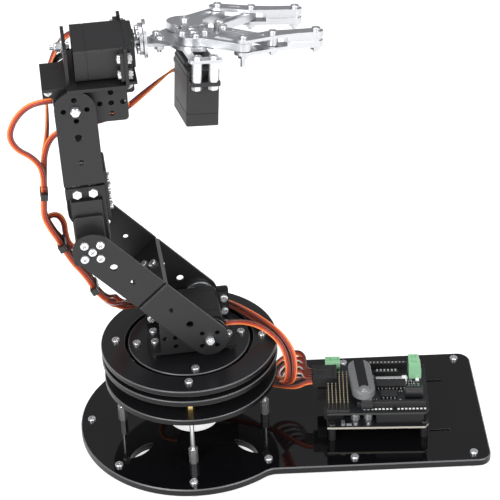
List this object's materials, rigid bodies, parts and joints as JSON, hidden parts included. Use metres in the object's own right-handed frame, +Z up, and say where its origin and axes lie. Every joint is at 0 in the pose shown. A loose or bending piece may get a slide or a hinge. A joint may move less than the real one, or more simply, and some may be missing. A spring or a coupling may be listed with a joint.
{
  "type": "desktop robot arm",
  "caption": "Six-servo desktop robot arm with a parallel-linkage claw on a turntable base, with its stacked controller board on the same black plate.",
  "frame": {"origin": "centre of the base plate's round hole, on the turntable's axis, at the plate's underside", "axes": "+X along the plate towards the controller, +Y to the side that the controller's lead plugs are on, +Z up along the turntable's axis"},
  "size_m": [0.3015, 0.157, 0.3098],
  "materials": {
    "black_anodised": "satin",
    "acrylic_gloss": "polished",
    "acrylic_matte": "matte",
    "servo_case": "fine grain",
    "zinc_hardware": "bright",
    "brass_spacer": "turned",
    "nylon_feet": "translucent",
    "cast_aluminium": "satin",
    "circuit_board": "solder mask",
    "header_black": "moulded",
    "gold_pins": "plated",
    "terminal_green": "moulded",
    "receiver_grey": "moulded",
    "lead_orange": "insulation",
    "tie_black": "moulded"
  },
  "bodies": {
    "base": {"base_plate": "acrylic_gloss", "base_feet": "nylon_feet", "base_screws": "zinc_hardware", "stack_rods": "zinc_hardware", "stack_spacers": "brass_spacer", "lower_disc": "acrylic_matte", "middle_disc": "acrylic_matte", "top_ring": "acrylic_matte", "thrust_bearing": "zinc_hardware", "base_servo": "servo_case", "controller_board": "circuit_board", "servo_shield": "circuit_board", "pin_blocks": "header_black", "header_pins": "gold_pins", "power_terminals": "terminal_green", "receiver": "receiver_grey", "board_parts": "header_black", "lead_plugs": "header_black", "controller_leads": "lead_orange"},
    "turntable": {"turntable_disc": "acrylic_matte", "turntable_bolts": "zinc_hardware", "base_horn": "cast_aluminium", "shoulder_bracket": "black_anodised", "shoulder_servo": "servo_case", "shoulder_leads": "lead_orange"},
    "lower_arm": {"shoulder_long_bracket": "black_anodised", "elbow_long_bracket": "black_anodised", "shoulder_horn": "cast_aluminium", "elbow_horn": "cast_aluminium", "lower_arm_bolts": "zinc_hardware", "lower_arm_leads": "lead_orange", "lower_arm_tie": "tie_black"},
    "forearm": {"elbow_bracket": "black_anodised", "elbow_servo": "servo_case", "forearm_angle": "black_anodised", "wrist_long_bracket": "black_anodised", "wrist_horn": "cast_aluminium", "forearm_bolts": "zinc_hardware", "forearm_ties": "tie_black", "forearm_leads": "lead_orange", "elbow_leads": "lead_orange"},
    "wrist": {"wrist_bracket": "black_anodised", "wrist_servo": "servo_case", "roll_bracket": "black_anodised", "roll_servo": "servo_case", "wrist_bolts": "zinc_hardware", "wrist_leads": "lead_orange"},
    "gripper": {"roll_horn": "cast_aluminium", "gripper_angle": "cast_aluminium", "gripper_base": "cast_aluminium", "gripper_servo": "servo_case", "gripper_hardware": "zinc_hardware", "gripper_lead": "lead_orange"},
    "near_gear": {"near_gear_link": "cast_aluminium", "gripper_horn": "cast_aluminium"},
    "far_gear": {"far_gear_link": "cast_aluminium"},
    "near_idler": {"near_idler": "cast_aluminium"},
    "far_idler": {"far_idler": "cast_aluminium"},
    "near_finger": {"near_finger": "cast_aluminium"},
    "far_finger": {"far_finger": "cast_aluminium"}
  },
  "joints": [
    {"name": "base_rotation", "type": "hinge", "parent": "base", "child": "turntable", "pos_m": [0, 0, 0], "axis": [0, 0, 1], "range_deg": [-90, 90], "deforming": ["shoulder_leads"]},
    {"name": "shoulder_pitch", "type": "hinge", "parent": "turntable", "child": "lower_arm", "pos_m": [0.01111, 0.00138, 0.0895], "axis": [-0.1236, 0.9923, 0], "range_deg": [-20, 60], "deforming": ["lower_arm_leads"]},
    {"name": "elbow_pitch", "type": "hinge", "parent": "lower_arm", "child": "forearm", "pos_m": [-0.05901, -0.00735, 0.16716], "axis": [-0.1236, 0.9923, 0], "range_deg": [-45, 60], "deforming": ["elbow_leads"]},
    {"name": "wrist_pitch", "type": "hinge", "parent": "forearm", "child": "wrist", "pos_m": [-0.06109, -0.00761, 0.26714], "axis": [0.1236, -0.9923, 0], "range_deg": [-55, 80], "deforming": ["wrist_leads"]},
    {"name": "wrist_roll", "type": "hinge", "parent": "wrist", "child": "gripper", "pos_m": [-0.06204, 0.00003, 0.29254], "axis": [0.9923, 0.1236, 0], "range_deg": [-80, 80], "deforming": ["gripper_lead"]},
    {"name": "gripper_drive", "type": "hinge", "parent": "gripper", "child": "near_gear", "pos_m": [0.01389, 0.00121, 0.29034], "axis": [0.0611, 0.1596, 0.9853], "range_deg": [-12, 36]},
    {"name": "far_gear_turn", "type": "hinge", "parent": "gripper", "child": "far_gear", "pos_m": [0.00805, 0.0283, 0.28632], "axis": [0.0611, 0.1596, 0.9853], "range_deg": [-36, 12]},
    {"name": "near_idler_turn", "type": "hinge", "parent": "gripper", "child": "near_idler", "pos_m": [0.03174, 0.01289, 0.28735], "axis": [0.0611, 0.1596, 0.9853], "range_deg": [-12, 36]},
    {"name": "far_idler_turn", "type": "hinge", "parent": "gripper", "child": "far_idler", "pos_m": [0.02924, 0.02449, 0.28562], "axis": [0.0611, 0.1596, 0.9853], "range_deg": [-36, 12]},
    {"name": "near_finger_turn", "type": "hinge", "parent": "near_gear", "child": "near_finger", "pos_m": [0.04359, -0.01532, 0.29118], "axis": [0.0611, 0.1596, 0.9853], "range_deg": [-36, 12]},
    {"name": "far_finger_turn", "type": "hinge", "parent": "far_gear", "child": "far_finger", "pos_m": [0.02844, 0.05493, 0.28074], "axis": [0.0611, 0.1596, 0.9853], "range_deg": [-12, 36]}
  ],
  "couplings": [
    {"joint": "far_gear_turn", "follows": "gripper_drive", "ratio": -1},
    {"joint": "near_idler_turn", "follows": "gripper_drive", "ratio": 1},
    {"joint": "far_idler_turn", "follows": "gripper_drive", "ratio": -1},
    {"joint": "near_finger_turn", "follows": "gripper_drive", "ratio": -1},
    {"joint": "far_finger_turn", "follows": "gripper_drive", "ratio": 1}
  ]
}
